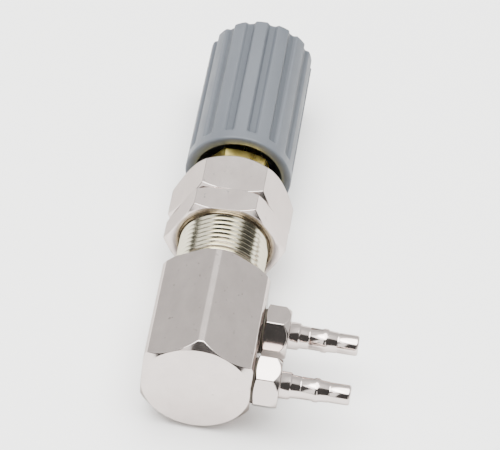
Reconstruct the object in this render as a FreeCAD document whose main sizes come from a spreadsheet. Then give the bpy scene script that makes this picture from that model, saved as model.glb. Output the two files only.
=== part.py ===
import FreeCAD, Part
import math
import os
import Sketcher

# Panel-mount needle valve for flow control: a hex-bar body with a threaded neck, two panel nuts,
# two hose barbs in one face, and a fluted knob on a rising needle stem.
#
# Frame: +Y runs along the valve axis towards the knob, +X is the way the hose barbs point, +Z is up.
# The origin is on the axis, at the shoulder where the threaded neck leaves the hex body.
# Each sub-part is built about its own Y axis and then placed.

os.makedirs("parts", exist_ok=True)
doc = FreeCAD.newDocument("flow_control_valve")
sheet = doc.addObject("Spreadsheet::Sheet", "Sizes")

# Sizes in millimetres. Angles are in degrees.
SIZES = {
    # hex body
    "body_flats": 14.29,
    "body_corner_radius": 8.03,
    "body_length": 18.0,
    "body_end_radius": 7.1,
    "body_end_chamfer": 1.0,
    "shoulder_face_radius": 7.5,
    "shoulder_chamfer": 0.55,
    # threaded neck, 15/32 inch, 32 threads to the inch
    "neck_radius": 5.953,
    "neck_root_radius": 5.5,
    "neck_length": 17.7,
    "neck_pitch": 0.794,
    "neck_thread_count": 21,
    "neck_groove_width": 0.56,
    # bores inside the body
    "bonnet_bore_radius": 4.0,
    "bonnet_bore_depth": 8.5,
    "stem_bore_radius": 3.0,
    "seat_plane": 9.0,
    "seat_bore_radius": 2.25,
    "seat_bore_depth": 2.3,
    "inlet_chamber_radius": 1.5,
    "inlet_chamber_end": 16.4,
    # ports for the hose barbs
    "inlet_port_offset": 15.0,
    "outlet_port_offset": 6.2,
    "port_radius": 2.45,
    "port_floor": 3.4,
    "passage_radius": 1.2,
    # seat
    "seat_radius": 2.22,
    "seat_thickness": 2.25,
    "seat_hole_radius": 0.8,
    # panel nuts
    "nut_flats": 14.29,
    "nut_bore_radius": 6.0,
    "nut_countersink": 0.2,
    "nut_chamfer_radius": 7.45,
    "nut_chamfer": 0.55,
    "nut_crown_radius": 7.1,
    "nut_crown": 1.3,
    "lower_nut_start": 7.7,
    "lower_nut_thickness": 3.9,
    "lower_nut_turn": -4.0,
    "upper_nut_thickness": 6.3,
    "upper_nut_turn": 0.0,
    # lead-in chamfer on the bonnet's and the fittings' threaded shanks
    "thread_lead": 0.4,
    # bonnet
    "gasket_thickness": 0.4,
    "gasket_inner_radius": 4.1,
    "gasket_outer_radius": 5.1,
    "bonnet_flats": 9.525,
    "bonnet_hex_height": 3.4,
    "bonnet_chamfer": 0.4,
    "bonnet_nose_radius": 3.4,
    "bonnet_nose_height": 2.8,
    "bonnet_shank_radius": 3.97,
    "bonnet_shank_length": 8.0,
    "bonnet_hole_radius": 2.45,
    "bonnet_turn": 9.0,
    # stem, 10-32 thread
    "stem_thread_radius": 2.41,
    "stem_tail_radius": 1.6,
    "stem_bottom": 6.3,
    "stem_land_start": 2.0,
    "stem_land_end": 7.8,
    "stem_land_radius": 2.9,
    "stem_groove_radius": 2.0,
    "stem_groove_width": 1.15,
    "lower_groove_start": 0.5,
    "upper_groove_start": 4.0,
    "upper_groove_width": 1.75,
    "stem_spigot_radius": 1.95,
    "stem_spigot_length": 6.4,
    "stem_tap_radius": 1.28,
    "stem_tap_depth": 6.0,
    "needle_hole_radius": 0.82,
    "needle_hole_depth": 3.1,
    # needle
    "needle_radius": 1.15,
    "needle_head": 0.82,
    "needle_cone": 2.71,
    "needle_tip_radius": 0.2,
    "needle_shank_radius": 0.8,
    "needle_shank_length": 3.0,
    # seals on the stem
    "ring_centre_radius": 2.48,
    "ring_section_radius": 0.46,
    "backup_inner_radius": 2.03,
    "backup_outer_radius": 2.95,
    "backup_thickness": 0.5,
    "backup_gap": 0.05,
    # knob
    "knob_start": 21.25,
    "knob_length": 23.75,
    "knob_base_radius": 7.24,
    "knob_top_radius": 7.12,
    "knob_edge": 0.3,
    "knob_top_round": 0.4,
    "knob_skirt_radius": 5.9,
    "knob_skirt_depth": 8.4,
    "knob_insert_radius": 3.62,
    "knob_insert_depth": 15.2,
    "knob_well_radius": 3.3,
    "knob_recess_radius": 4.65,
    "knob_recess_depth": 1.6,
    "flute_count": 14,
    "flute_radius": 0.9,
    "flute_depth": 0.4,
    "flute_start": 1.6,
    "knob_turn": 9.0,
    # knob insert, screw, washer and cap
    "insert_radius": 3.6,
    "insert_length": 6.8,
    "insert_bore_radius": 1.99,
    "insert_groove": 0.3,
    "lower_grip_height": 2.04,
    "upper_grip_height": 4.76,
    "washer_inner_radius": 1.35,
    "washer_outer_radius": 2.6,
    "washer_thickness": 0.5,
    "screw_head_radius": 2.3,
    "screw_head_height": 1.6,
    "screw_head_edge": 0.96,
    "screw_head_top_radius": 1.8,
    "screw_shank_radius": 1.25,
    "screw_shank_length": 5.6,
    "screw_slot_width": 0.6,
    "screw_slot_depth": 0.7,
    "cap_radius": 4.6,
    "cap_thickness": 1.5,
    "cap_edge": 0.2,
    "cap_plug_radius": 3.25,
    "cap_plug_length": 1.2,
    # hose barb fittings
    "port_gasket_thickness": 0.3,
    "port_gasket_inner_radius": 2.47,
    "port_gasket_outer_radius": 3.0,
    "fitting_flats": 6.35,
    "fitting_hex_height": 3.2,
    "fitting_hex_chamfer": 0.85,
    "fitting_face_radius": 3.1,
    "fitting_shank_radius": 2.41,
    "fitting_shank_length": 3.9,
    "fitting_bore_radius": 0.8,
    "collar_radius": 1.8,
    "collar_length": 1.35,
    "root_radius": 1.47,
    "root_length": 1.35,
    "score_depth": 0.08,
    "score_width": 0.14,
    "middle_length": 1.6,
    "ridge_radius": 1.6,
    "ridge_length": 0.95,
    "front_radius": 1.4,
    "front_length": 1.1,
    "tip_radius": 1.34,
    "tip_length": 2.85,
    "tip_round": 0.3,
    "barb_step": 0.25,
    "inlet_turn": 8.0,
    "outlet_turn": 53.0,
}
for row, (alias, number) in enumerate(SIZES.items(), start=1):
    sheet.set(f"A{row}", alias)
    sheet.set(f"B{row}", str(number))
    sheet.setAlias(f"B{row}", alias)
doc.recompute()

HEX_SIDE = 1.0 / math.sqrt(3.0)  # a hexagon's corner radius, over its width across flats
BEYOND = 3.0  # how far a cutting profile runs past the outside of the solid that it cuts
RUN_OUT = 0.5  # how far a bore's cutting profile runs past the ends of its hole
OVERLAP = 0.1  # how far a groove's cutting profile stands clear of the surface that it cuts


class Size:
    """A number together with the spreadsheet expression that gives it."""

    def __init__(self, value, text):
        self.value = value
        self.text = text

    def combine(self, other, sign, value):
        other_text = other.text if isinstance(other, Size) else repr(float(other))
        return Size(value, f"({self.text} {sign} {other_text})")

    def __add__(self, other):
        return self.combine(other, "+", self.value + number_of(other))

    def __sub__(self, other):
        return self.combine(other, "-", self.value - number_of(other))

    def __mul__(self, other):
        return self.combine(other, "*", self.value * number_of(other))

    def __neg__(self):
        return Size(-self.value, f"(0 - {self.text})")


def number_of(size):
    return size.value if isinstance(size, Size) else float(size)


def size(alias):
    return Size(SIZES[alias], f"Sizes.{alias}")


ZERO = Size(0.0, "0")


def new_body(name):
    body = doc.addObject("PartDesign::Body", name)
    body.Label = name
    return body


def origin_feature(body, role):
    for feature in body.Origin.OriginFeatures:
        if feature.Role == role:
            return feature
    raise ValueError(role)


def new_sketch(body, name, role):
    sketch = body.newObject("Sketcher::SketchObject", name)
    sketch.AttachmentSupport = [(origin_feature(body, role), "")]
    sketch.MapMode = "FlatFace"
    return sketch


def tie(sketch, edge, kind, amount):
    """Holds the start point of an edge at a size measured from the sketch's origin."""
    if amount.value == 0.0:
        axis = -2 if kind == "DistanceX" else -1
        sketch.addConstraint(Sketcher.Constraint("PointOnObject", edge, 1, axis))
        return
    index = sketch.addConstraint(Sketcher.Constraint(kind, -1, 1, edge, 1, amount.value))
    sketch.setExpression(f"Constraints[{index}]", amount.text)


def draw_outline(sketch, corners):
    """Joins the corners with straight edges and ties every corner to its sizes."""
    count = len(corners)
    points = [FreeCAD.Vector(across.value, along.value, 0) for across, along in corners]
    for k in range(count):
        sketch.addGeometry(Part.LineSegment(points[k], points[(k + 1) % count]), False)
    for k in range(count):
        sketch.addConstraint(Sketcher.Constraint("Coincident", k, 2, (k + 1) % count, 1))
    for k, (across, along) in enumerate(corners):
        tie(sketch, k, "DistanceX", across)
        tie(sketch, k, "DistanceY", along)


def draw_circle(sketch, across, along, radius):
    centre = FreeCAD.Vector(across.value, along.value, 0)
    circle = sketch.addGeometry(Part.Circle(centre, FreeCAD.Vector(0, 0, 1), radius.value), False)
    for kind, amount in (("DistanceX", across), ("DistanceY", along)):
        if amount.value == 0.0:
            axis = -2 if kind == "DistanceX" else -1
            sketch.addConstraint(Sketcher.Constraint("PointOnObject", circle, 3, axis))
        else:
            index = sketch.addConstraint(Sketcher.Constraint(kind, -1, 1, circle, 3, amount.value))
            sketch.setExpression(f"Constraints[{index}]", amount.text)
    index = sketch.addConstraint(Sketcher.Constraint("Radius", circle, radius.value))
    sketch.setExpression(f"Constraints[{index}]", radius.text)


def turn(body, name, kind, corners):
    """Revolves an outline of (radius, along) corners about the body's Y axis."""
    sketch = new_sketch(body, name + "_outline", "XY_Plane")
    draw_outline(sketch, corners)
    feature = body.newObject(kind, name)
    feature.Profile = sketch
    feature.ReferenceAxis = (sketch, ["V_Axis"])
    feature.Angle = 360.0
    return feature


def turned_solid(body, name, corners):
    return turn(body, name, "PartDesign::Revolution", corners)


def turned_cut(body, name, corners):
    return turn(body, name, "PartDesign::Groove", corners)


def along_y(body, name, kind, sketch, length):
    """Pads or pockets a cross-section towards +Y."""
    feature = body.newObject(kind, name)
    feature.Profile = sketch
    feature.Type = 0
    feature.Length = length.value
    feature.setExpression("Length", length.text)
    feature.Reversed = kind == "PartDesign::Pad"
    return feature


def hex_prism(body, name, flats, length, corner_up):
    """A hexagonal bar from y = 0 along +Y, with corners at +-Z or, if not corner_up, at +-X."""
    half_flat = flats * 0.5
    half_side = half_flat * HEX_SIDE
    corner = half_side * 2.0
    outline = [
        (half_flat, half_side),
        (ZERO, corner),
        (-half_flat, half_side),
        (-half_flat, -half_side),
        (ZERO, -corner),
        (half_flat, -half_side),
    ]
    if not corner_up:
        outline = [(up, across) for across, up in outline]
    sketch = new_sketch(body, name + "_section", "XZ_Plane")
    draw_outline(sketch, outline)
    return along_y(body, name, "PartDesign::Pad", sketch, length)


def ring(body, name, inner, outer, start, end):
    return turned_solid(body, name, [(inner, start), (outer, start), (outer, end), (inner, end)])


def place(body, x=ZERO, y=ZERO, turned_by=None, to_x=False):
    """Moves a sub-part, with its own Y axis kept along +Y or swung over to +X, and turned about it."""
    body.setExpression(".Placement.Base.x", x.text)
    body.setExpression(".Placement.Base.y", y.text)
    if to_x:
        swing = FreeCAD.Rotation(FreeCAD.Vector(0, 0, 1), -90)
        clock = FreeCAD.Rotation(FreeCAD.Vector(1, 0, 0), SIZES[turned_by])
        body.Placement.Rotation = clock.multiply(swing)
    elif turned_by:
        body.Placement.Rotation = FreeCAD.Rotation(FreeCAD.Vector(0, 1, 0), SIZES[turned_by])


def circular_edges(shape, along, radius):
    """Names of the circular edges of this radius at this height."""
    names = []
    for number, edge in enumerate(shape.Edges, start=1):
        if not hasattr(edge.Curve, "Radius") or not edge.Closed:
            continue
        if abs(edge.Curve.Radius - radius) < 1e-3 and abs(edge.CenterOfMass.y - along) < 1e-3:
            names.append(f"Edge{number}")
    return names


def round_edge(body, name, base, along, radius, amount):
    doc.recompute()
    fillet = body.newObject("PartDesign::Fillet", name)
    fillet.Base = (base, circular_edges(base.Shape, along.value, radius.value))
    fillet.Radius = amount.value
    fillet.setExpression("Radius", amount.text)
    return fillet


def corner_chamfer(body, name, face_radius, corner, plane, depth):
    """Cuts a cone off a hexagon's corners, from face_radius at the plane to depth at the corners."""
    outside = face_radius + (corner - face_radius) * 2.0
    turned_cut(body, name, [
        (face_radius, plane),
        (outside, plane),
        (outside, plane - depth * 2.0),
    ])


def valve_body():
    """Hex bar with turned corners, end chamfers and a threaded neck, bored for stem and ports."""
    body = new_body("valve_body")
    length = size("body_length")
    bar = hex_prism(body, "hex_bar", size("body_flats"), length, True)
    bar.Reversed = False  # this bar runs from the shoulder at y = 0 towards -Y
    outside = size("body_corner_radius") + BEYOND
    shoulder_chamfer = size("shoulder_chamfer")
    turned_cut(body, "turned_corners", [
        (size("shoulder_face_radius"), ZERO),
        (outside, ZERO),
        (outside, -length),
        (size("body_end_radius"), -length),
        (size("body_corner_radius"), size("body_end_chamfer") - length),
        (size("body_corner_radius"), -shoulder_chamfer),
    ])
    neck_end = size("neck_length")
    crest = size("neck_radius")
    depth = crest - size("neck_root_radius")
    turned_solid(body, "neck", [
        (ZERO, -shoulder_chamfer),
        (crest, -shoulder_chamfer),
        (crest, neck_end - depth),
        (crest - depth, neck_end),
        (ZERO, neck_end),
    ])
    half_width = size("neck_groove_width") * 0.5
    groove_middle = size("neck_pitch") * 0.5
    groove = turned_cut(body, "thread_groove", [
        (size("neck_root_radius"), groove_middle),
        (crest + OVERLAP, groove_middle - half_width),
        (crest + OVERLAP, groove_middle + half_width),
    ])
    pattern = body.newObject("PartDesign::LinearPattern", "thread_grooves")
    pattern.Originals = [groove]
    pattern.Direction = (origin_feature(body, "Y_Axis"), [""])
    pattern.Occurrences = SIZES["neck_thread_count"]
    pattern.Length = SIZES["neck_pitch"] * (SIZES["neck_thread_count"] - 1)
    pattern.setExpression("Occurrences", "Sizes.neck_thread_count")
    pattern.setExpression("Length", "Sizes.neck_pitch * (Sizes.neck_thread_count - 1)")
    body.Tip = pattern
    seat_plane = -size("seat_plane")
    seat_floor = seat_plane - size("seat_bore_depth")
    bonnet_floor = neck_end - size("bonnet_bore_depth")
    turned_cut(body, "stem_bore", [
        (ZERO, neck_end + RUN_OUT),
        (size("bonnet_bore_radius"), neck_end + RUN_OUT),
        (size("bonnet_bore_radius"), bonnet_floor),
        (size("stem_bore_radius"), bonnet_floor),
        (size("stem_bore_radius"), seat_plane),
        (size("seat_bore_radius"), seat_plane),
        (size("seat_bore_radius"), seat_floor),
        (size("inlet_chamber_radius"), seat_floor),
        (size("inlet_chamber_radius"), -size("inlet_chamber_end")),
        (ZERO, -size("inlet_chamber_end")),
    ])
    for port in ("inlet", "outlet"):
        centre = -size(f"{port}_port_offset")
        radial_cut(body, f"{port}_thread", centre, size("port_radius"), size("port_floor"))
        radial_cut(body, f"{port}_passage", centre, size("passage_radius"), ZERO)


def radial_cut(body, name, centre, radius, start):
    """A round hole along +X, from x = start out through the face that carries the ports."""
    sketch = new_sketch(body, name + "_circle", "YZ_Plane")
    sketch.AttachmentOffset = FreeCAD.Placement(FreeCAD.Vector(0, 0, start.value), FreeCAD.Rotation())
    sketch.setExpression(".AttachmentOffset.Base.z", start.text)
    draw_circle(sketch, centre, ZERO, radius)
    cut = body.newObject("PartDesign::Pocket", name)
    cut.Profile = sketch
    cut.Type = 0
    reach = size("body_flats") * 0.5 - start + BEYOND
    cut.Length = reach.value
    cut.setExpression("Length", reach.text)
    cut.Reversed = True


def seat_insert():
    """Plastic seat ring pressed into the body below the needle."""
    body = new_body("seat_insert")
    ring(body, "seat_ring", size("seat_hole_radius"), size("seat_radius"), -size("seat_thickness"), ZERO)
    place(body, y=-size("seat_plane"))


def panel_nut(name, thickness, start, far_radius, far_chamfer):
    """Thin hex nut, chamfered both sides, with a countersunk bore that clears the neck's crests."""
    body = new_body(name)
    hex_prism(body, "hex", size("nut_flats"), thickness, False)
    corner = size("nut_flats") * HEX_SIDE
    corner_chamfer(body, "near_chamfer", size("nut_chamfer_radius"), corner, ZERO, -size("nut_chamfer"))
    corner_chamfer(body, "far_chamfer", far_radius, corner, thickness, far_chamfer)
    sink = size("nut_countersink")
    bore = size("nut_bore_radius")
    turned_cut(body, "bore", [
        (ZERO, -sink),
        (bore + sink * 2.0, -sink),
        (bore, sink),
        (bore, thickness - sink),
        (bore + sink * 2.0, thickness + sink),
        (ZERO, thickness + sink),
    ])
    place(body, y=start, turned_by=name.replace("panel_nut", "nut_turn"))


def bonnet():
    """Brass gland nut that screws into the neck and guides the stem."""
    body = new_body("bonnet")
    height = size("bonnet_hex_height")
    hex_prism(body, "hex", size("bonnet_flats"), height, False)
    corner_chamfer(body, "hex_chamfer", size("bonnet_flats") * 0.5, size("bonnet_flats") * HEX_SIDE,
                   height, size("bonnet_chamfer"))
    turned_solid(body, "nose", [
        (ZERO, height * 0.5),
        (size("bonnet_nose_radius"), height * 0.5),
        (size("bonnet_nose_radius"), height + size("bonnet_nose_height")),
        (ZERO, height + size("bonnet_nose_height")),
    ])
    turned_solid(body, "shank", [
        (ZERO, -size("bonnet_shank_length")),
        (size("bonnet_shank_radius") - size("thread_lead"), -size("bonnet_shank_length")),
        (size("bonnet_shank_radius"), size("thread_lead") - size("bonnet_shank_length")),
        (size("bonnet_shank_radius"), height * 0.5),
        (ZERO, height * 0.5),
    ])
    top = height + size("bonnet_nose_height") + RUN_OUT
    bottom = -size("bonnet_shank_length") - RUN_OUT
    turned_cut(body, "stem_hole", [
        (ZERO, bottom),
        (size("bonnet_hole_radius"), bottom),
        (size("bonnet_hole_radius"), top),
        (ZERO, top),
    ])
    place(body, y=size("neck_length") + size("gasket_thickness"), turned_by="bonnet_turn")


def bonnet_gasket():
    body = new_body("bonnet_gasket")
    ring(body, "washer", size("gasket_inner_radius"), size("gasket_outer_radius"),
         ZERO, size("gasket_thickness"))
    place(body, y=size("neck_length"))


def stem():
    """Rising stem: tail in the outlet chamber, sealed land, thread in the bonnet, spigot in the knob."""
    body = new_body("stem")
    bottom = -size("stem_bottom")
    shoulder = size("knob_start") + size("knob_skirt_depth")
    top = shoulder + size("stem_spigot_length")
    turned_solid(body, "shaft", [
        (ZERO, bottom),
        (size("stem_tail_radius"), bottom),
        (size("stem_tail_radius"), -size("stem_land_start")),
        (size("stem_land_radius"), -size("stem_land_start")),
        (size("stem_land_radius"), size("stem_land_end")),
        (size("stem_thread_radius"), size("stem_land_end")),
        (size("stem_thread_radius"), shoulder),
        (size("stem_spigot_radius"), shoulder),
        (size("stem_spigot_radius"), top),
        (ZERO, top),
    ])
    outside = size("stem_land_radius") + OVERLAP
    for place_name, width in (("lower", "stem_groove_width"), ("upper", "upper_groove_width")):
        start = size(f"{place_name}_groove_start")
        end = start + size(width)
        turned_cut(body, f"{place_name}_seal_groove", [
            (size("stem_groove_radius"), start),
            (outside, start),
            (outside, end),
            (size("stem_groove_radius"), end),
        ])
    for name, radius, start, end in (
        ("needle_hole", "needle_hole_radius", bottom - RUN_OUT, bottom + size("needle_hole_depth")),
        ("tapped_hole", "stem_tap_radius", top - size("stem_tap_depth"), top + RUN_OUT),
    ):
        turned_cut(body, name, [(ZERO, start), (size(radius), start), (size(radius), end), (ZERO, end)])


def needle():
    """Tapered steel point whose shank is held in the end of the stem."""
    body = new_body("needle")
    head = -size("needle_head")
    point = head - size("needle_cone")
    turned_solid(body, "point", [
        (ZERO, size("needle_shank_length")),
        (size("needle_shank_radius"), size("needle_shank_length")),
        (size("needle_shank_radius"), ZERO),
        (size("needle_radius"), ZERO),
        (size("needle_radius"), head),
        (size("needle_tip_radius"), point),
        (ZERO, point),
    ])
    place(body, y=-size("stem_bottom"))


def seal_ring(name, groove_start):
    """Rubber O-ring lying in its groove in the stem."""
    body = new_body(name)
    sketch = new_sketch(body, "section", "XY_Plane")
    draw_circle(sketch, size("ring_centre_radius"), ZERO, size("ring_section_radius"))
    torus = body.newObject("PartDesign::Revolution", "torus")
    torus.Profile = sketch
    torus.ReferenceAxis = (sketch, ["V_Axis"])
    torus.Angle = 360.0
    place(body, y=groove_start + size("stem_groove_width") * 0.5)


def backup_ring():
    """Plastic ring that backs the upper O-ring in the same groove."""
    body = new_body("backup_ring")
    ring(body, "band", size("backup_inner_radius"), size("backup_outer_radius"),
         -size("backup_thickness"), ZERO)
    place(body, y=size("upper_groove_start") + size("upper_groove_width") - size("backup_gap"))


def knob():
    """Fluted knob with a hollow skirt, a core for its insert and a recess for its cap."""
    body = new_body("knob")
    top = size("knob_length")
    edge = size("knob_edge")
    base = size("knob_base_radius")
    skirt_top = size("knob_skirt_depth")
    shell = turned_solid(body, "shell", [
        (size("knob_skirt_radius"), ZERO),
        (base - edge, ZERO),
        (base, edge),
        (size("knob_top_radius"), top),
        (size("knob_recess_radius"), top),
        (size("knob_recess_radius"), top - size("knob_recess_depth")),
        (size("knob_well_radius"), top - size("knob_recess_depth")),
        (size("knob_well_radius"), size("knob_insert_depth")),
        (size("knob_insert_radius"), size("knob_insert_depth")),
        (size("knob_insert_radius"), skirt_top),
        (size("knob_skirt_radius"), skirt_top),
    ])
    round_edge(body, "top_round", shell, top, size("knob_top_radius"), size("knob_top_round"))
    sketch = new_sketch(body, "flute_section", "XZ_Plane")
    sketch.AttachmentOffset = FreeCAD.Placement(
        FreeCAD.Vector(0, 0, -SIZES["flute_start"]), FreeCAD.Rotation())
    sketch.setExpression(".AttachmentOffset.Base.z", "0 - Sizes.flute_start")
    centre = size("knob_top_radius") + size("flute_radius") - size("flute_depth")
    draw_circle(sketch, ZERO, centre, size("flute_radius"))
    flute = along_y(body, "flute", "PartDesign::Pocket", sketch, top)
    pattern = body.newObject("PartDesign::PolarPattern", "flutes")
    pattern.Originals = [flute]
    pattern.Axis = (origin_feature(body, "Y_Axis"), [""])
    pattern.Angle = 360.0
    pattern.Occurrences = SIZES["flute_count"]
    pattern.setExpression("Occurrences", "Sizes.flute_count")
    body.Tip = pattern
    place(body, y=size("knob_start"), turned_by="knob_turn")


def knob_insert():
    """Brass bush with two gripping grooves, held in the knob's core around the stem's spigot."""
    body = new_body("knob_insert")
    length = size("insert_length")
    outer = size("insert_radius")
    ring(body, "bush", size("insert_bore_radius"), outer, ZERO, length)
    groove = size("insert_groove")
    for part in ("lower", "upper"):
        middle = size(f"{part}_grip_height")
        turned_cut(body, f"{part}_grip", [
            (outer - groove, middle - groove),
            (outer + OVERLAP, middle - groove),
            (outer + OVERLAP, middle + groove),
            (outer - groove, middle + groove),
        ])
    place(body, y=size("knob_start") + size("knob_skirt_depth"))


def insert_top():
    return size("knob_start") + size("knob_skirt_depth") + size("insert_length")


def lock_washer():
    body = new_body("knob_washer")
    ring(body, "washer", size("washer_inner_radius"), size("washer_outer_radius"),
         ZERO, size("washer_thickness"))
    place(body, y=insert_top())


def knob_screw():
    """Slotted screw that clamps the knob's insert onto the stem."""
    body = new_body("knob_screw")
    turned_solid(body, "screw", [
        (ZERO, -size("screw_shank_length")),
        (size("screw_shank_radius"), -size("screw_shank_length")),
        (size("screw_shank_radius"), ZERO),
        (size("screw_head_radius"), ZERO),
        (size("screw_head_radius"), size("screw_head_edge")),
        (size("screw_head_top_radius"), size("screw_head_height")),
        (ZERO, size("screw_head_height")),
    ])
    sketch = new_sketch(body, "slot_section", "XY_Plane")
    half = size("screw_slot_width") * 0.5
    floor = size("screw_head_height") - size("screw_slot_depth")
    roof = size("screw_head_height") + RUN_OUT
    draw_outline(sketch, [(-half, floor), (half, floor), (half, roof), (-half, roof)])
    slot = body.newObject("PartDesign::Pocket", "slot")
    slot.Profile = sketch
    slot.Type = 0
    slot.Midplane = True
    reach = (size("screw_head_radius") + RUN_OUT) * 2.0
    slot.Length = reach.value
    slot.setExpression("Length", reach.text)
    place(body, y=insert_top() + size("washer_thickness"))


def knob_cap():
    """Press-in cap that closes the knob's far end."""
    body = new_body("knob_cap")
    plug = -size("cap_plug_length")
    turned_solid(body, "disc", [
        (ZERO, plug),
        (size("cap_plug_radius"), plug),
        (size("cap_plug_radius"), ZERO),
        (size("cap_radius"), ZERO),
        (size("cap_radius"), size("cap_thickness") - size("cap_edge")),
        (size("cap_radius") - size("cap_edge"), size("cap_thickness")),
        (ZERO, size("cap_thickness")),
    ])
    place(body, y=size("knob_start") + size("knob_length") - size("knob_recess_depth"))


def score(body, name, radius, along):
    """A fine turned line around the barb."""
    half = size("score_width") * 0.5
    turned_cut(body, name, [
        (radius - size("score_depth"), along),
        (radius + OVERLAP, along - half),
        (radius + OVERLAP, along + half),
    ])


def fitting(port):
    """Hose barb with a hex and a threaded shank, built along its own Y axis from the hex's inner face."""
    body = new_body(f"{port}_barb")
    height = size("fitting_hex_height")
    hex_prism(body, "hex", size("fitting_flats"), height, False)
    corner_chamfer(body, "hex_chamfer", size("fitting_face_radius"), size("fitting_flats") * HEX_SIDE,
                   height, size("fitting_hex_chamfer"))
    shank = -size("fitting_shank_length")
    turned_solid(body, "shank", [
        (ZERO, shank),
        (size("fitting_shank_radius") - size("thread_lead"), shank),
        (size("fitting_shank_radius"), shank + size("thread_lead")),
        (size("fitting_shank_radius"), height * 0.5),
        (ZERO, height * 0.5),
    ])
    collar_end = height + size("collar_length")
    root_end = collar_end + size("root_length")
    middle_end = root_end + size("middle_length")
    ridge_end = middle_end + size("ridge_length")
    front_end = ridge_end + size("front_length")
    tip_end = front_end + size("tip_length")
    lead = size("barb_step")
    barb = turned_solid(body, "barb", [
        (ZERO, height * 0.5),
        (size("collar_radius"), height * 0.5),
        (size("collar_radius"), collar_end),
        (size("root_radius"), collar_end + lead),
        (size("root_radius"), middle_end),
        (size("ridge_radius"), middle_end + lead),
        (size("ridge_radius"), ridge_end - lead),
        (size("front_radius"), ridge_end),
        (size("tip_radius"), front_end),
        (size("tip_radius"), tip_end),
        (ZERO, tip_end),
    ])
    round_edge(body, "tip_rounding", barb, tip_end, size("tip_radius"), size("tip_round"))
    score(body, "root_line", size("root_radius"), root_end)
    score(body, "tip_line", size("tip_radius"), front_end + size("score_width"))
    turned_cut(body, "bore", [
        (ZERO, shank - RUN_OUT),
        (size("fitting_bore_radius"), shank - RUN_OUT),
        (size("fitting_bore_radius"), tip_end + RUN_OUT),
        (ZERO, tip_end + RUN_OUT),
    ])
    face_plane = size("body_flats") * 0.5 + size("port_gasket_thickness")
    place(body, x=face_plane, y=-size(f"{port}_port_offset"), turned_by=f"{port}_turn", to_x=True)


def port_gasket(port):
    body = new_body(f"{port}_gasket")
    ring(body, "washer", size("port_gasket_inner_radius"), size("port_gasket_outer_radius"),
         ZERO, size("port_gasket_thickness"))
    place(body, x=size("body_flats") * 0.5, y=-size(f"{port}_port_offset"),
          turned_by=f"{port}_turn", to_x=True)


valve_body()
seat_insert()
bonnet()
bonnet_gasket()
panel_nut("lower_panel_nut", size("lower_nut_thickness"), size("lower_nut_start"),
          size("nut_chamfer_radius"), size("nut_chamfer"))
panel_nut("upper_panel_nut", size("upper_nut_thickness"),
          size("lower_nut_start") + size("lower_nut_thickness"),
          size("nut_crown_radius"), size("nut_crown"))
stem()
needle()
seal_ring("lower_o_ring", size("lower_groove_start"))
seal_ring("upper_o_ring", size("upper_groove_start"))
backup_ring()
knob()
knob_insert()
lock_washer()
knob_screw()
knob_cap()
for port in ("inlet", "outlet"):
    fitting(port)
    port_gasket(port)

doc.recompute()
for item in doc.Objects:
    if "Invalid" in item.State or "Error" in item.State:
        raise RuntimeError(f"{item.Label}: {item.State}")
for item in doc.Objects:
    if item.TypeId != "PartDesign::Body":
        continue
    if item.Shape.isNull() or not item.Shape.isValid() or len(item.Shape.Solids) != 1:
        raise RuntimeError(f"{item.Label}: bad shape")
    item.Shape.exportStep(f"parts/{item.Label}.step")
    print(item.Label, round(item.Shape.Volume, 2), item.Shape.BoundBox)
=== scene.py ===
import math

import bpy
from mathutils import Matrix, Vector


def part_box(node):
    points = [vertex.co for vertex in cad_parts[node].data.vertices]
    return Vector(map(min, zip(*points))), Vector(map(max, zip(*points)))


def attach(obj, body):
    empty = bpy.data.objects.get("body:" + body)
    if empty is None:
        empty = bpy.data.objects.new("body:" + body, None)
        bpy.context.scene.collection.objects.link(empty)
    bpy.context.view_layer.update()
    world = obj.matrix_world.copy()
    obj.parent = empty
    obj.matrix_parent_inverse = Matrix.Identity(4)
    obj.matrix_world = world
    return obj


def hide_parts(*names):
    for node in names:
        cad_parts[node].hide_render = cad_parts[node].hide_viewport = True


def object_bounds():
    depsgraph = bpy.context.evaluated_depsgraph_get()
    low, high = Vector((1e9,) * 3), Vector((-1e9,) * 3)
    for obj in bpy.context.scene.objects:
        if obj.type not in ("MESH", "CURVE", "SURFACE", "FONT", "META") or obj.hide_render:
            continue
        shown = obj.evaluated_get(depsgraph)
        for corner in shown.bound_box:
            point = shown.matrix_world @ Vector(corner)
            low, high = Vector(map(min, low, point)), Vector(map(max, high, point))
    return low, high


# Panel-mount needle valve, lying on its side: +Y runs along the valve towards the knob, +X is the
# way the hose barbs point and +Z is up. All lengths are in metres, written as millimetres times MM.

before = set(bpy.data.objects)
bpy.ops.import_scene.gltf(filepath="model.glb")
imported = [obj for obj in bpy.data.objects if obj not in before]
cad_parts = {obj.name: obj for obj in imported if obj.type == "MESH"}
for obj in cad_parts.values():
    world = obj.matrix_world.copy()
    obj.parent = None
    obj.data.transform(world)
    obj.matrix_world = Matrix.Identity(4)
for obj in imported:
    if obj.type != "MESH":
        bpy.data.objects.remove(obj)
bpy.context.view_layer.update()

MM = 0.001
HEX_ANGLE = math.radians(60)
TURN = 2 * math.pi


# ---------------------------------------------------------------- sizes

BODY_LOW, BODY_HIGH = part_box("valve_body")
LOWER_NUT_LOW, LOWER_NUT_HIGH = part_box("lower_panel_nut")
UPPER_NUT_LOW, UPPER_NUT_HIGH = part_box("upper_panel_nut")
BONNET_LOW, BONNET_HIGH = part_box("bonnet")
BONNET_GASKET_LOW, BONNET_GASKET_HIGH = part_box("bonnet_gasket")
KNOB_LOW, KNOB_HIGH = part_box("knob")
CAP_LOW, CAP_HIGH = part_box("knob_cap")

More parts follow.
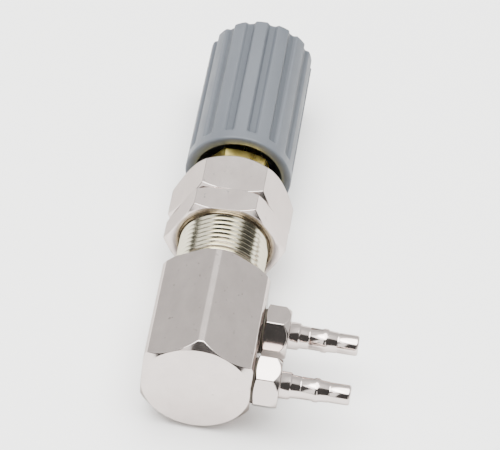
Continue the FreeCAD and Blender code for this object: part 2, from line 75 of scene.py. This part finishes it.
BODY_FLAT = BODY_HIGH.x  # half of the width across flats
BODY_CORNER = BODY_HIGH.z  # the turned corners' radius
END_CUT = (7.1 * MM, 1.0 * MM)  # face radius and length of the chamfer at the bar's turned end
SHOULDER_CUT = (7.5 * MM, 0.55 * MM)
BREAK = 0.06 * MM  # how far a machined edge is broken

NECK_CREST = 5.953 * MM
NECK_ROOT = 5.5 * MM
NECK_PITCH = 0.794 * MM
BONNET_BORE = 4.0 * MM
STEM_BORE = 3.0 * MM

NUT_FLAT = UPPER_NUT_HIGH.z
NUT_CUT = (7.45 * MM, 0.55 * MM)
NUT_CROWN = (7.1 * MM, 1.3 * MM)  # the upper nut's far side is cut back further
NUT_BORE = 6.0 * MM

# corners in each ring of a solid
HEX_STEPS = 600
SMALL_HEX_STEPS = 360
KNOB_STEPS = 1008
ROUND_STEPS = 180

ROWS_PER_PITCH = 22
CHAMFER_ROWS = 26
CHAMFER_REACH = 1.15  # chamfer lengths that its rows cover, so that they run past its soft edge


# ---------------------------------------------------------------- mesh building

def soft_min(values, softness):
    """The smallest value, with the corner where two of them cross rounded off."""
    low, next_low = sorted(values)[:2]
    reach = max(softness - (next_low - low), 0.0) / softness
    return low - reach * reach * softness / 4


def smooth_step(low, high, value):
    share = min(max((value - low) / (high - low), 0.0), 1.0)
    return share * share * (3 - 2 * share)


def spread(low, high, count):
    return [low + (high - low) * k / count for k in range(count + 1)]


def ring_solid(name, rings, steps, along="Y", centre=(0, 0, 0), loop=False):
    """A solid swept about an axis through rings of (place along the axis, radius).

    A radius is a number or a function of the angle, which turns by the right-hand rule about the
    axis, from +Z on the Y axis and from +Y on the X axis. A radius of zero closes the solid at a
    point; loop joins the last ring to the first, for a solid with a hole through it.
    """
    verts, rows = [], []
    centre = Vector(centre)
    for place, radius in rings:
        if radius == 0:
            rows.append([len(verts)] * steps)
            verts.append(centre + axis_point(along, place, 0, 0))
            continue
        rows.append(range(len(verts), len(verts) + steps))
        for k in range(steps):
            angle = TURN * k / steps
            reach = radius(angle) if callable(radius) else radius
            verts.append(centre + axis_point(along, place, reach, angle))
    pairs = list(zip(rows, rows[1:]))
    if loop:
        pairs.append((rows[-1], rows[0]))
    faces = []
    for first, second in pairs:
        for k in range(steps):
            after = (k + 1) % steps
            corners = (first[k], first[after], second[after], second[k])
            faces.append(tuple(dict.fromkeys(corners)))
    mesh = bpy.data.meshes.new(name)
    mesh.from_pydata(verts, [], faces)
    mesh.validate()
    mesh.shade_smooth()
    piece = bpy.data.objects.new(name, mesh)
    bpy.context.collection.objects.link(piece)
    return piece


def axis_point(along, place, reach, angle):
    if along == "Y":
        return Vector((reach * math.sin(angle), place, reach * math.cos(angle)))
    return Vector((place, reach * math.cos(angle), reach * math.sin(angle)))


def hex_radius(angle, half_flat, corner_angle):
    """Radius of a hexagon whose corners lie at corner_angle and every sixth of a turn from it."""
    from_flat = (angle - corner_angle) % HEX_ANGLE - HEX_ANGLE / 2
    return half_flat / math.cos(from_flat)


def hex_rings(start, end, half_flat, corner_angle, turned, ends):
    """Outer rings of a hex bar from start to end.

    turned is the radius its corners are turned to. ends gives, for each end, the radius of its
    face and the length of the chamfer that cuts its corners.
    """
    cuts = []
    places = {start, end, start + (end - start) * 0.5}
    for (face, length), origin, direction in zip(ends, (start, end), (1, -1)):
        cuts.append((face, (turned - face) / length, origin, direction))
        for share in spread(0.0, CHAMFER_REACH, CHAMFER_ROWS):
            places.add(origin + direction * length * share)

    def outline(place):
        def radius(angle):
            limits = [hex_radius(angle, half_flat, corner_angle), turned]
            for face, slope, origin, direction in cuts:
                limits.append(face + slope * (place - origin) * direction)
            return soft_min(limits, BREAK)
        return radius

    return [(place, outline(place)) for place in sorted(places)]


def thread_rings(start, end, crest, root, fade_in, fade_out, phase=0.0):
    """Rings of a right-hand screw thread of the neck's pitch, from start to end.

    fade_in and fade_out are the lengths over which the ridges rise at the start and end.
    """
    count = round(abs(end - start) / NECK_PITCH * ROWS_PER_PITCH)
    root_flat, flank = 0.06, 0.86  # shares of half a pitch

    def outline(place):
        rise = smooth_step(0, fade_in, abs(place - start))
        rise *= smooth_step(0, fade_out, abs(end - place))

        def radius(angle):
            turn = (place / NECK_PITCH - angle / TURN + phase) % 1.0
            ridge = min(max((abs(2 * turn - 1) - root_flat) / flank, 0.0), 1.0)
            return root + (crest - root) * ridge * rise
        return radius

    return [(place, outline(place)) for place in spread(start, end, count)]


def finish_piece(piece, node, body, material):
    """Puts a piece in place of its CAD node, on that node's body and with its finish."""
    piece.data.materials.append(material)
    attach(piece, body)
    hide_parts(node)


# ---------------------------------------------------------------- materials

class Nodes:
    """Short calls for building a node tree."""

    def __init__(self, tree):
        self.tree = tree
        tree.nodes.clear()

    def add(self, kind, **settings):
        node = self.tree.nodes.new(kind)
        for key, value in settings.items():
            setattr(node, key, value)
        return node

    def link(self, output, socket):
        self.tree.links.new(output, socket)

    def scaled(self, scale):
        """The object's own coordinates, stretched by this many cells per metre each way."""
        coordinates = self.add("ShaderNodeTexCoord")
        mapping = self.add("ShaderNodeMapping")
        mapping.inputs["Scale"].default_value = scale
        self.link(coordinates.outputs["Object"], mapping.inputs["Vector"])
        return mapping.outputs["Vector"]

    def noise(self, scale, detail=4.0, roughness=0.55):
        node = self.add("ShaderNodeTexNoise")
        node.inputs["Scale"].default_value = 1.0
        node.inputs["Detail"].default_value = detail
        node.inputs["Roughness"].default_value = roughness
        self.link(self.scaled(scale), node.inputs["Vector"])
        return node.outputs["Fac"]

    def ramp(self, factor, stops):
        node = self.add("ShaderNodeValToRGB")
        elements = node.color_ramp.elements
        while len(elements) < len(stops):
            elements.new(0.5)
        for element, (place, colour) in zip(elements, stops):
            element.position = place
            element.color = (*colour, 1.0) if len(colour) == 3 else colour
        self.link(factor, node.inputs["Fac"])
        return node.outputs["Color"]

    def fit(self, factor, low, high, new_low, new_high, smooth=False):
        """Maps low to high onto new_low to new_high, and holds the new ends outside them."""
        node = self.add("ShaderNodeMapRange")
        if smooth:
            node.interpolation_type = "SMOOTHSTEP"
        for key, value in (("From Min", low), ("From Max", high),
                           ("To Min", new_low), ("To Max", new_high)):
            node.inputs[key].default_value = value
        self.link(factor, node.inputs["Value"])
        return node.outputs["Result"]

    def math(self, operation, first, second):
        node = self.add("ShaderNodeMath", operation=operation)
        for socket, value in zip(node.inputs, (first, second)):
            if isinstance(value, (int, float)):
                socket.default_value = value
            else:
                self.link(value, socket)
        return node.outputs["Value"]

    def mix(self, factor, first, second):
        node = self.add("ShaderNodeMix", data_type="RGBA")
        self.link(factor, node.inputs["Factor"])
        for socket, value in ((node.inputs["A"], first), (node.inputs["B"], second)):
            if isinstance(value, tuple):
                socket.default_value = (*value, 1.0)
            else:
                self.link(value, socket)
        return node.outputs["Result"]

    def split(self, output_name):
        """X, Y and Z of one of the texture coordinates."""
        coordinates = self.add("ShaderNodeTexCoord")
        parts = self.add("ShaderNodeSeparateXYZ")
        self.link(coordinates.outputs[output_name], parts.inputs["Vector"])
        return [parts.outputs[axis] for axis in "XYZ"]

    def axis_distance(self, along):
        """Distance of a point from the Y axis, or from a line parallel to X at Y = along."""
        x, y, z = self.split("Object")
        across = x if along is None else self.math("SUBTRACT", y, along)
        squares = self.math("ADD", self.math("MULTIPLY", across, across), self.math("MULTIPLY", z, z))
        return self.math("SQRT", squares, 0.5)


class Surface(Nodes):
    """A material with one surface shader."""

    def __init__(self, name):
        self.material = bpy.data.materials.new(name)
        self.material.use_nodes = True
        super().__init__(self.material.node_tree)
        self.shader = self.add("ShaderNodeBsdfPrincipled")
        output = self.add("ShaderNodeOutputMaterial")
        self.link(self.shader.outputs["BSDF"], output.inputs["Surface"])

    def set(self, **values):
        for key, value in values.items():
            self.shader.inputs[key.replace("_", " ")].default_value = value

    def feed(self, output, socket_name):
        self.link(output, self.shader.inputs[socket_name])

    def bump(self, height, distance, strength):
        node = self.add("ShaderNodeBump")
        node.inputs["Distance"].default_value = distance
        node.inputs["Strength"].default_value = strength
        self.link(height, node.inputs["Height"])
        self.feed(node.outputs["Normal"], "Normal")


def machined_metal(name, light, dark, roughness, along=None, thread_tone=None):
    """Turned and plated metal: tool lines about its axis, a soft mottle and a few dull specks.

    thread_tone is the darker, yellower colour that the metal is given on the neck's thread.
    """
    nodes = Surface(name)
    nodes.set(Metallic=1.0, Specular_Tint=(0.4, 0.39, 0.38, 1.0))
    mottle = nodes.noise((420, 260, 420), detail=5.0)
    specks = nodes.noise((1900, 1500, 1900), detail=2.0, roughness=0.4)
    base = nodes.ramp(mottle, [(0.3, dark), (0.7, light)])
    speck_cover, speck_tone = 0.55, 0.55
    speck_mask = nodes.fit(specks, 0.70, 0.76, 0.0, speck_cover)
    worn = tuple(channel * speck_tone for channel in dark)
    colour = nodes.mix(speck_mask, base, worn)
    radius = nodes.axis_distance(along)
    if thread_tone:
        fade = 0.1 * MM
        inside = nodes.fit(radius, NECK_CREST, NECK_CREST + fade, 1.0, 0.0)
        on_neck = nodes.fit(nodes.split("Object")[1], 0.0, fade, 0.0, 1.0)
        colour = nodes.mix(nodes.math("MULTIPLY", inside, on_neck), colour, thread_tone)
    nodes.feed(colour, "Base Color")
    nodes.feed(nodes.fit(mottle, 0.3, 0.7, roughness * 0.8, roughness * 1.3), "Roughness")
    lines_per_metre, line_depth = 9000.0, 0.004 * MM
    tool_lines = nodes.add("ShaderNodeTexNoise", noise_dimensions="1D")
    tool_lines.inputs["Scale"].default_value = lines_per_metre
    tool_lines.inputs["Detail"].default_value = 2.0
    nodes.link(radius, tool_lines.inputs["W"])
    nodes.bump(tool_lines.outputs["Fac"], line_depth, strength=0.5)
    return nodes.material


def knob_plastic(name):
    """Moulded grey plastic: faint flow marks, a fine eggshell grain, scuffs and painted shade in the
    flutes.
    """
    nodes = Surface(name)
    flow = nodes.noise((120, 45, 120), detail=4.0)
    grain = nodes.noise((5200, 5200, 5200), detail=2.0, roughness=0.5)
    scuffs = nodes.noise((900, 160, 900), detail=5.0, roughness=0.65)
    dark, light = (0.064, 0.072, 0.086), (0.080, 0.089, 0.103)
    # the lighter colour is for scuffs; the darker one is painted shade for the flute floors
    scuffed, flute_shade = (0.12, 0.128, 0.140), (0.046, 0.053, 0.064)
    base = nodes.ramp(flow, [(0.3, dark), (0.7, light)])
    scuff_cover, flute_shade_cover = 0.35, 0.85
    scuff_mask = nodes.fit(scuffs, 0.60, 0.78, 0.0, scuff_cover)
    colour = nodes.mix(scuff_mask, base, scuffed)
    # the painted shade lies between the skirt's wall and the ribs' tops, and stops short of both ends:
    # the flute floors are darkened to stand in for the shade in the flutes
    wall = (6.60 * MM, 6.65 * MM)
    ribs = (6.86 * MM, 7.06 * MM)
    rim_end = (KNOB_LOW.y + 0.4 * MM, KNOB_LOW.y + 0.8 * MM)
    top_end = (KNOB_HIGH.y - 0.6 * MM, KNOB_HIGH.y - 0.4 * MM)
    radius = nodes.axis_distance(None)
    along = nodes.split("Object")[1]
    masks = [
        nodes.fit(radius, *ribs, 1.0, 0.0, True),
        nodes.fit(radius, *wall, 0.0, flute_shade_cover),
        nodes.fit(along, *rim_end, 0.0, 1.0),
        nodes.fit(along, *top_end, 1.0, 0.0),
    ]
    in_flute = masks[0]
    for mask in masks[1:]:
        in_flute = nodes.math("MULTIPLY", in_flute, mask)
    nodes.feed(nodes.mix(in_flute, colour, flute_shade), "Base Color")
    nodes.feed(nodes.fit(scuffs, 0.35, 0.7, 0.42, 0.58), "Roughness")
    nodes.set(IOR=1.49)
    grain_depth = 0.010 * MM
    nodes.bump(grain, grain_depth, strength=0.35)
    return nodes.material


def soft_polymer(name, light, dark, roughness):
    """Rubber or plain plastic with a fine moulded surface."""
    nodes = Surface(name)
    tone = nodes.noise((800, 800, 800), detail=4.0)
    grain = nodes.noise((9000, 9000, 9000), detail=2.0)
    grain_depth = 0.006 * MM
    nodes.feed(nodes.ramp(tone, [(0.3, dark), (0.7, light)]), "Base Color")
    nodes.feed(nodes.fit(tone, 0.3, 0.7, roughness * 0.85, roughness * 1.15), "Roughness")
    nodes.bump(grain, grain_depth, strength=0.4)
    return nodes.material


INLET_LOW, INLET_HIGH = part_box("inlet_gasket")
OUTLET_LOW, OUTLET_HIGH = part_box("outlet_gasket")
PORT_PLACES = {
    "inlet": (INLET_LOW.y + INLET_HIGH.y) / 2,
    "outlet": (OUTLET_LOW.y + OUTLET_HIGH.y) / 2,
}
NICKEL_LIGHT = (0.645, 0.575, 0.545)
NICKEL_DARK = (0.58, 0.512, 0.485)
NICKEL = machined_metal("nickel_plate", NICKEL_LIGHT, NICKEL_DARK, 0.14)
BODY_NICKEL = machined_metal("nickel_plate_body", NICKEL_LIGHT, NICKEL_DARK, 0.14,
                             thread_tone=(0.55, 0.515, 0.40))
FITTING_NICKEL = {
    port: machined_metal(f"nickel_plate_{port}", NICKEL_LIGHT, NICKEL_DARK, 0.10, along=place)
    for port, place in PORT_PLACES.items()
}
BRASS = machined_metal("brass", (0.90, 0.76, 0.26), (0.78, 0.60, 0.17), 0.30)
STEEL = machined_metal("steel", (0.60, 0.60, 0.60), (0.48, 0.48, 0.48), 0.25)
GREY_PLASTIC = knob_plastic("grey_plastic")
RUBBER = soft_polymer("rubber", (0.060, 0.050, 0.034), (0.030, 0.025, 0.017), 0.6)
WHITE_PLASTIC = soft_polymer("white_plastic", (0.82, 0.82, 0.79), (0.74, 0.74, 0.70), 0.4)


# ---------------------------------------------------------------- valve body

def build_body():
    """Hex bar with turned corners and end chamfers, and its threaded neck."""
    bar = hex_rings(BODY_LOW.y, 0.0, BODY_FLAT, 0.0, BODY_CORNER, (END_CUT, SHOULDER_CUT))
    end_face = END_CUT[0]
    neck_end = BODY_HIGH.y
    lead = NECK_CREST - NECK_ROOT
    first_ridge, last_ridge = 0.35 * MM, 0.1 * MM  # lengths over which the end ridges rise
    neck_foot = NECK_ROOT + 0.3 * MM
    countersink = 0.2 * MM
    bonnet_seat = neck_end - 8.5 * MM
    stem_bore_end = -9.0 * MM
    neck = thread_rings(0.0, neck_end - lead, NECK_CREST, NECK_ROOT, first_ridge, last_ridge)
    rings = [(BODY_LOW.y, 0), (BODY_LOW.y, end_face * 0.5), (BODY_LOW.y, end_face - BREAK)]
    rings += bar
    rings += [(0.0, BODY_FLAT - BREAK), (0.0, neck_foot)]
    rings += neck
    rings += [
        (neck_end - 0.15 * MM, NECK_ROOT - 0.1 * MM),
        (neck_end, NECK_ROOT - 0.3 * MM),
        (neck_end, BONNET_BORE + countersink),
        (neck_end - countersink, BONNET_BORE),
        (bonnet_seat, BONNET_BORE),
        (bonnet_seat, STEM_BORE),
        (stem_bore_end, STEM_BORE),
        (stem_bore_end, 0),
    ]
    piece = ring_solid("body_piece", rings, HEX_STEPS)
    finish_piece(piece, "valve_body", "valve", BODY_NICKEL)


def build_nut(node, body, low, high, far_cut, turn_degrees):
    """Panel nut: chamfered hex outside, countersunk and threaded inside, between flat faces."""
    corner = NUT_FLAT / math.cos(HEX_ANGLE / 2)
    corner_angle = HEX_ANGLE / 2 + math.radians(turn_degrees)
    rings = hex_rings(low.y, high.y, NUT_FLAT, corner_angle, corner, (NUT_CUT, far_cut))
    sink = 0.2 * MM
    lead = 0.4 * MM
    root = NUT_BORE + 0.32 * MM
    far_face = min(NUT_FLAT, far_cut[0])
    rings += [
        (high.y, far_face - BREAK),
        (high.y, NUT_BORE + sink + BREAK),
        (high.y - BREAK, NUT_BORE + sink),
    ]
    rings += thread_rings(high.y - sink, low.y + sink, root, NUT_BORE, lead, lead, phase=0.5)
    rings += [
        (low.y + BREAK, NUT_BORE + sink),
        (low.y, NUT_BORE + sink + BREAK),
        (low.y, NUT_FLAT - BREAK),
    ]
    piece = ring_solid(f"{body}_piece", rings, HEX_STEPS, loop=True)
    finish_piece(piece, node, body, NICKEL)


def build_bonnet():
    """Brass gland nut: plain shank, small hex and a round nose that guides the stem."""
    half_flat = 4.7625 * MM
    corner = half_flat / math.cos(HEX_ANGLE / 2)
    corner_angle = HEX_ANGLE / 2 + math.radians(9)
    near_cut, far_cut = 0.25 * MM, 0.4 * MM
    hex_low = BONNET_GASKET_HIGH.y
    hex_high = hex_low + 3.4 * MM
    bore, nose, shank = 2.45 * MM, 3.4 * MM, 3.97 * MM
    shank_cut, nose_cut = 0.4 * MM, 0.3 * MM
    rings = [(BONNET_LOW.y, bore), (BONNET_LOW.y, shank - shank_cut),
             (BONNET_LOW.y + shank_cut, shank), (hex_low, shank), (hex_low, half_flat - BREAK)]
    rings += hex_rings(hex_low, hex_high, half_flat, corner_angle, corner,
                       ((half_flat, near_cut), (half_flat, far_cut)))
    rings += [(hex_high, half_flat - BREAK), (hex_high, nose), (BONNET_HIGH.y - nose_cut, nose),
              (BONNET_HIGH.y, nose - nose_cut), (BONNET_HIGH.y, bore)]
    piece = ring_solid("bonnet_piece", rings, SMALL_HEX_STEPS, loop=True)
    finish_piece(piece, "bonnet", "valve", BRASS)


# ---------------------------------------------------------------- fittings

def build_fitting(port, turn_degrees):
    """Hose barb: plain shank, chamfered hex, collar, and a stepped barb scored at its joints."""
    low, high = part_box(f"{port}_barb")
    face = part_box(f"{port}_gasket")[1].x
    place = PORT_PLACES[port]
    half_flat = 3.175 * MM
    corner = half_flat / math.cos(HEX_ANGLE / 2)
    hex_end = face + 3.2 * MM
    far_face, collar_foot = 3.1 * MM, 2.0 * MM
    near_cut, far_cut = 0.2 * MM, 0.85 * MM
    bore, bore_cut = 0.8 * MM, 0.1 * MM
    shank, shank_cut = 2.41 * MM, 0.4 * MM
    rings = [(low.x, bore), (low.x, shank - shank_cut), (low.x + shank_cut, shank), (face, shank),
             (face, half_flat - BREAK)]
    rings += hex_rings(face, hex_end, half_flat, math.radians(turn_degrees), corner,
                       ((half_flat, near_cut), (far_face, far_cut)))
    rings += [(hex_end, far_face - BREAK), (hex_end, collar_foot)]
    # radius and place past the hex of each corner of the stepped barb, in millimetres
    steps = [
        (1.80, 0.10), (1.80, 1.27), (1.74, 1.35), (1.52, 1.60), (1.50, 2.62), (1.40, 2.70),
        (1.49, 2.78), (1.47, 4.27), (1.60, 4.52), (1.60, 5.00), (1.42, 5.25), (1.38, 6.36),
        (1.27, 6.46), (1.34, 6.56), (1.34, 8.70),
    ]
    rings += [(hex_end + along * MM, radius * MM) for radius, along in steps]
    tip_radius, tip_round = 1.34 * MM, 0.3 * MM
    for angle in spread(0, math.pi / 2, 8):
        rings.append((high.x - tip_round + tip_round * math.sin(angle),
                      tip_radius - tip_round + tip_round * math.cos(angle)))
    rings += [(high.x, bore + bore_cut), (high.x - bore_cut, bore)]
    piece = ring_solid(f"{port}_fitting_piece", rings, SMALL_HEX_STEPS, "X", (0, place, 0), loop=True)
    finish_piece(piece, f"{port}_barb", "valve", FITTING_NICKEL[port])


def build_washer(node, along, centre, low, high, inner, outer):
    """Flat rubber washer with rounded rims."""
    middle = (low + high) / 2
    half = (high - low) / 2
    rings = []
    for radius, start in ((outer, -math.pi / 2), (inner, math.pi / 2)):
        sign = 1 if radius == outer else -1
        for angle in spread(start, start + math.pi, 10):
            rings.append((middle + half * math.sin(angle),
                          radius - sign * half + half * math.cos(angle)))
    piece = ring_solid(f"{node}_piece", rings, ROUND_STEPS, along, centre, loop=True)
    finish_piece(piece, node, "valve", RUBBER)


# ---------------------------------------------------------------- knob

FLUTES = 14


def build_knob():
    """Fluted knob: a plain band at the skirt's rim, tapered ribs above it and a rounded top edge."""
    length = KNOB_HIGH.y - KNOB_LOW.y
    base, top = 7.24 * MM, 7.12 * MM
    rim, top_round = 0.3 * MM, 0.4 * MM
    flute_depth, flute_start, flute_run_in = 0.4 * MM, 1.5 * MM, 0.5 * MM
    flute_floor, flute_wall = 0.20, 0.55  # where its floor and its wall end, in half pitches
    crown_height = 0.05 * MM
    pitch = TURN / FLUTES
    first_flute = math.radians(9)

    def outer(place):
        taper = base + (top - base) * place / length
        from_top = length - place
        if from_top < top_round:
            taper -= top_round - math.sqrt(max(top_round ** 2 - (top_round - from_top) ** 2, 0.0))
        if place < rim:
            taper -= rim - math.sqrt(rim ** 2 - (rim - place) ** 2)
        rise = smooth_step(flute_start, flute_start + flute_run_in, place)

        def radius(angle):
            from_flute = abs((angle - first_flute + pitch / 2) % pitch - pitch / 2) / (pitch / 2)
            groove = 1 - smooth_step(flute_floor, flute_wall, from_flute)
            crown = crown_height * (1 - from_flute) ** 2
            return taper - rise * (flute_depth * groove + crown)
        return radius

    places = spread(0, rim, 6) + [rim * 2]
    places += spread(flute_start, flute_start + flute_run_in, 10)
    places += spread(flute_start + 1.0 * MM, length - top_round * 1.3, 6)
    places += [length - top_round * math.cos(angle) for angle in spread(0.0, math.pi / 2, 12)]
    skirt, skirt_cut = 5.9 * MM, 0.15 * MM
    cap_recess, recess_cut = 4.65 * MM, 0.1 * MM
    recess_floor = CAP_LOW.y + 1.1 * MM
    plug_bore, insert_bore = 3.3 * MM, 3.62 * MM
    insert_low, insert_high = KNOB_LOW.y + 8.4 * MM, KNOB_LOW.y + 15.2 * MM
    rings = [(KNOB_LOW.y, skirt + skirt_cut)]
    rings += [(KNOB_LOW.y + place, outer(place)) for place in sorted(set(places))]
    rings += [
        (KNOB_HIGH.y, cap_recess + recess_cut),
        (KNOB_HIGH.y - recess_cut, cap_recess),
        (recess_floor, cap_recess),
        (recess_floor, plug_bore),
        (insert_high, plug_bore),
        (insert_high, insert_bore),
        (insert_low, insert_bore),
        (insert_low, skirt),
        (KNOB_LOW.y + skirt_cut, skirt),
    ]
    piece = ring_solid("knob_piece", rings, KNOB_STEPS, loop=True)
    finish_piece(piece, "knob", "knob_and_stem", GREY_PLASTIC)


def build_cap():
    """Press-in cap, slightly dished, with a rounded rim."""
    rim, rim_round, rim_cut = 4.6 * MM, 0.2 * MM, 0.1 * MM
    plug, plug_cut = 3.25 * MM, 0.2 * MM
    dish = 0.12 * MM
    ledge = CAP_LOW.y + 1.2 * MM
    rings = [(CAP_LOW.y, 0), (CAP_LOW.y, plug - plug_cut), (CAP_LOW.y + plug_cut, plug),
             (ledge, plug), (ledge, rim - rim_cut), (ledge + rim_cut, rim)]
    for angle in spread(0, math.pi / 2, 6):
        rings.append((CAP_HIGH.y - rim_round + rim_round * math.sin(angle),
                      rim - rim_round + rim_round * math.cos(angle)))
    for share in (0.85, 0.7, 0.5, 0.25):
        rings.append((CAP_HIGH.y - dish * (1 - share * share), rim * share))
    rings.append((CAP_HIGH.y - dish, 0))
    piece = ring_solid("cap_piece", rings, ROUND_STEPS)
    finish_piece(piece, "knob_cap", "knob_and_stem", GREY_PLASTIC)


# ---------------------------------------------------------------- inner pieces kept from the CAD

INNER_FINISHES = {
    "seat_insert": WHITE_PLASTIC,
    "stem": BRASS,
    "needle": STEEL,
    "lower_o_ring": RUBBER,
    "upper_o_ring": RUBBER,
    "backup_ring": WHITE_PLASTIC,
    "knob_insert": BRASS,
    "knob_washer": STEEL,
    "knob_screw": STEEL,
}


def finish_inner_pieces():
    for node, material in INNER_FINISHES.items():
        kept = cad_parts[node]
        kept.data.materials.clear()
        kept.data.materials.append(material)


# ---------------------------------------------------------------- stage, light and camera

WALL, UPPER_WALL = 1.15, 1.9  # brightness
WALL_BLEND = (30, 50)  # elevations between which the one passes into the other
# Each patch has azimuths from -Y towards +X, elevations, the softness of its edges and its
# brightness. Angles are in degrees, and later patches cover earlier ones.
WORLD_PATCHES = [
    ((-75, 75), (-10, 50), 12, 0.10),
    ((-40, -24), (5, 46), 4, 2.4),
    ((14, 25), (-10, 34), 4, 2.2),
    ((-200, 200), (60, 100), 5, 11.0),
]


def build_floor():
    """A wide pale floor at the valve's lowest point."""
    low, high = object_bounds()
    reach = 1.5
    middle = (low + high) / 2
    corners = [(middle.x + x * reach, middle.y + y * reach, low.z)
               for x, y in ((-1, -1), (1, -1), (1, 1), (-1, 1))]
    mesh = bpy.data.meshes.new("floor")
    mesh.from_pydata(corners, [], [(0, 1, 2, 3)])
    floor = bpy.data.objects.new("floor", mesh)
    bpy.context.collection.objects.link(floor)
    nodes = Surface("floor")
    tone = nodes.noise((3, 3, 3), detail=2.0)
    dark, light = (0.86, 0.86, 0.855), (0.90, 0.90, 0.895)
    nodes.feed(nodes.ramp(tone, [(0.3, dark), (0.7, light)]), "Base Color")
    nodes.set(Roughness=0.9)
    mesh.materials.append(nodes.material)


def build_world():
    """A soft studio: a broad light overhead, grey walls behind, and a dim front with two windows."""
    world = bpy.data.worlds.new("studio")
    bpy.context.scene.world = world
    world.use_nodes = True
    nodes = Nodes(world.node_tree)
    x, y, z = nodes.split("Generated")
    azimuth = nodes.math("ARCTAN2", x, nodes.math("MULTIPLY", y, -1.0))  # from -Y towards +X
    elevation = nodes.math("ARCSINE", z, 0.0)

    def band(angle, low, high, soft):
        edges = [math.radians(degrees) for degrees in (low - soft, low, high, high + soft)]
        rise = nodes.fit(angle, edges[0], edges[1], 0.0, 1.0, True)
        fall = nodes.fit(angle, edges[2], edges[3], 1.0, 0.0, True)
        return nodes.math("MULTIPLY", rise, fall)

    blend_low, blend_high = (math.radians(degrees) for degrees in WALL_BLEND)
    level = nodes.fit(elevation, blend_low, blend_high, WALL, UPPER_WALL, True)
    for azimuths, elevations, soft, light in WORLD_PATCHES:
        mask = nodes.math("MULTIPLY", band(azimuth, *azimuths, soft),
                          band(elevation, *elevations, soft))
        step = nodes.math("MULTIPLY", mask, nodes.math("SUBTRACT", light, level))
        level = nodes.math("ADD", level, step)
    warmth = (1.0, 1.0, 0.985)
    tint = nodes.add("ShaderNodeCombineColor")
    for socket, share in zip(tint.inputs, warmth):
        nodes.link(nodes.math("MULTIPLY", level, share), socket)
    background = nodes.add("ShaderNodeBackground")
    nodes.link(tint.outputs["Color"], background.inputs["Color"])
    output = nodes.add("ShaderNodeOutputWorld")
    nodes.link(background.outputs["Background"], output.inputs["Surface"])


def build_light(name, place, size, power, aim):
    """A rectangular lamp of this power in watts, facing aim."""
    light = bpy.data.lights.new(name, "AREA")
    light.shape = "RECTANGLE"
    light.size, light.size_y = size
    light.energy = power
    lamp = bpy.data.objects.new(name, light)
    lamp.location = place
    lamp.rotation_euler = (Vector(aim) - Vector(place)).to_track_quat("-Z", "Y").to_euler()
    bpy.context.collection.objects.link(lamp)


def build_camera():
    """Looks along the valve from its body end, from above, through a long lens."""
    aim = Vector((2.87, 12.66, -0.15)) * MM
    distance = 0.5362
    azimuth, elevation, roll = (math.radians(degrees) for degrees in (3.03, 45.74, 6.84))
    back = Vector((math.sin(azimuth) * math.cos(elevation),
                   -math.cos(azimuth) * math.cos(elevation),
                   math.sin(elevation)))
    camera_data = bpy.data.cameras.new("camera")
    camera_data.lens = 288
    camera_data.sensor_width = 36
    camera_data.clip_start = 0.01
    camera = bpy.data.objects.new("camera", camera_data)
    level = (-back).to_track_quat("-Z", "Y").to_matrix().to_4x4()
    place = Matrix.Translation(aim + back * distance)
    camera.matrix_world = place @ level @ Matrix.Rotation(roll, 4, "Z")
    bpy.context.collection.objects.link(camera)
    bpy.context.scene.camera = camera


# degrees that each hexagon is turned about its own axis
UPPER_NUT_TURN, LOWER_NUT_TURN = 0, -4
INLET_TURN, OUTLET_TURN = 8, 53

# inner and outer radius of the washers
PORT_WASHER = (2.47 * MM, 3.0 * MM)
BONNET_WASHER = (4.1 * MM, 5.1 * MM)

build_body()
build_nut("lower_panel_nut", "lower_nut", LOWER_NUT_LOW, LOWER_NUT_HIGH, NUT_CUT, LOWER_NUT_TURN)
build_nut("upper_panel_nut", "upper_nut", UPPER_NUT_LOW, UPPER_NUT_HIGH, NUT_CROWN, UPPER_NUT_TURN)
build_bonnet()
build_fitting("inlet", INLET_TURN)
build_fitting("outlet", OUTLET_TURN)
build_washer("inlet_gasket", "X", (0, PORT_PLACES["inlet"], 0),
             INLET_LOW.x, INLET_HIGH.x, *PORT_WASHER)
build_washer("outlet_gasket", "X", (0, PORT_PLACES["outlet"], 0),
             OUTLET_LOW.x, OUTLET_HIGH.x, *PORT_WASHER)
build_washer("bonnet_gasket", "Y", (0, 0, 0),
             BONNET_GASKET_LOW.y, BONNET_GASKET_HIGH.y, *BONNET_WASHER)
build_knob()
build_cap()
finish_inner_pieces()
build_floor()
build_world()
build_light("key", place=(-0.25, -0.15, 0.55), size=(0.35, 0.35), power=2.0, aim=(0, 0, 0))
build_camera()
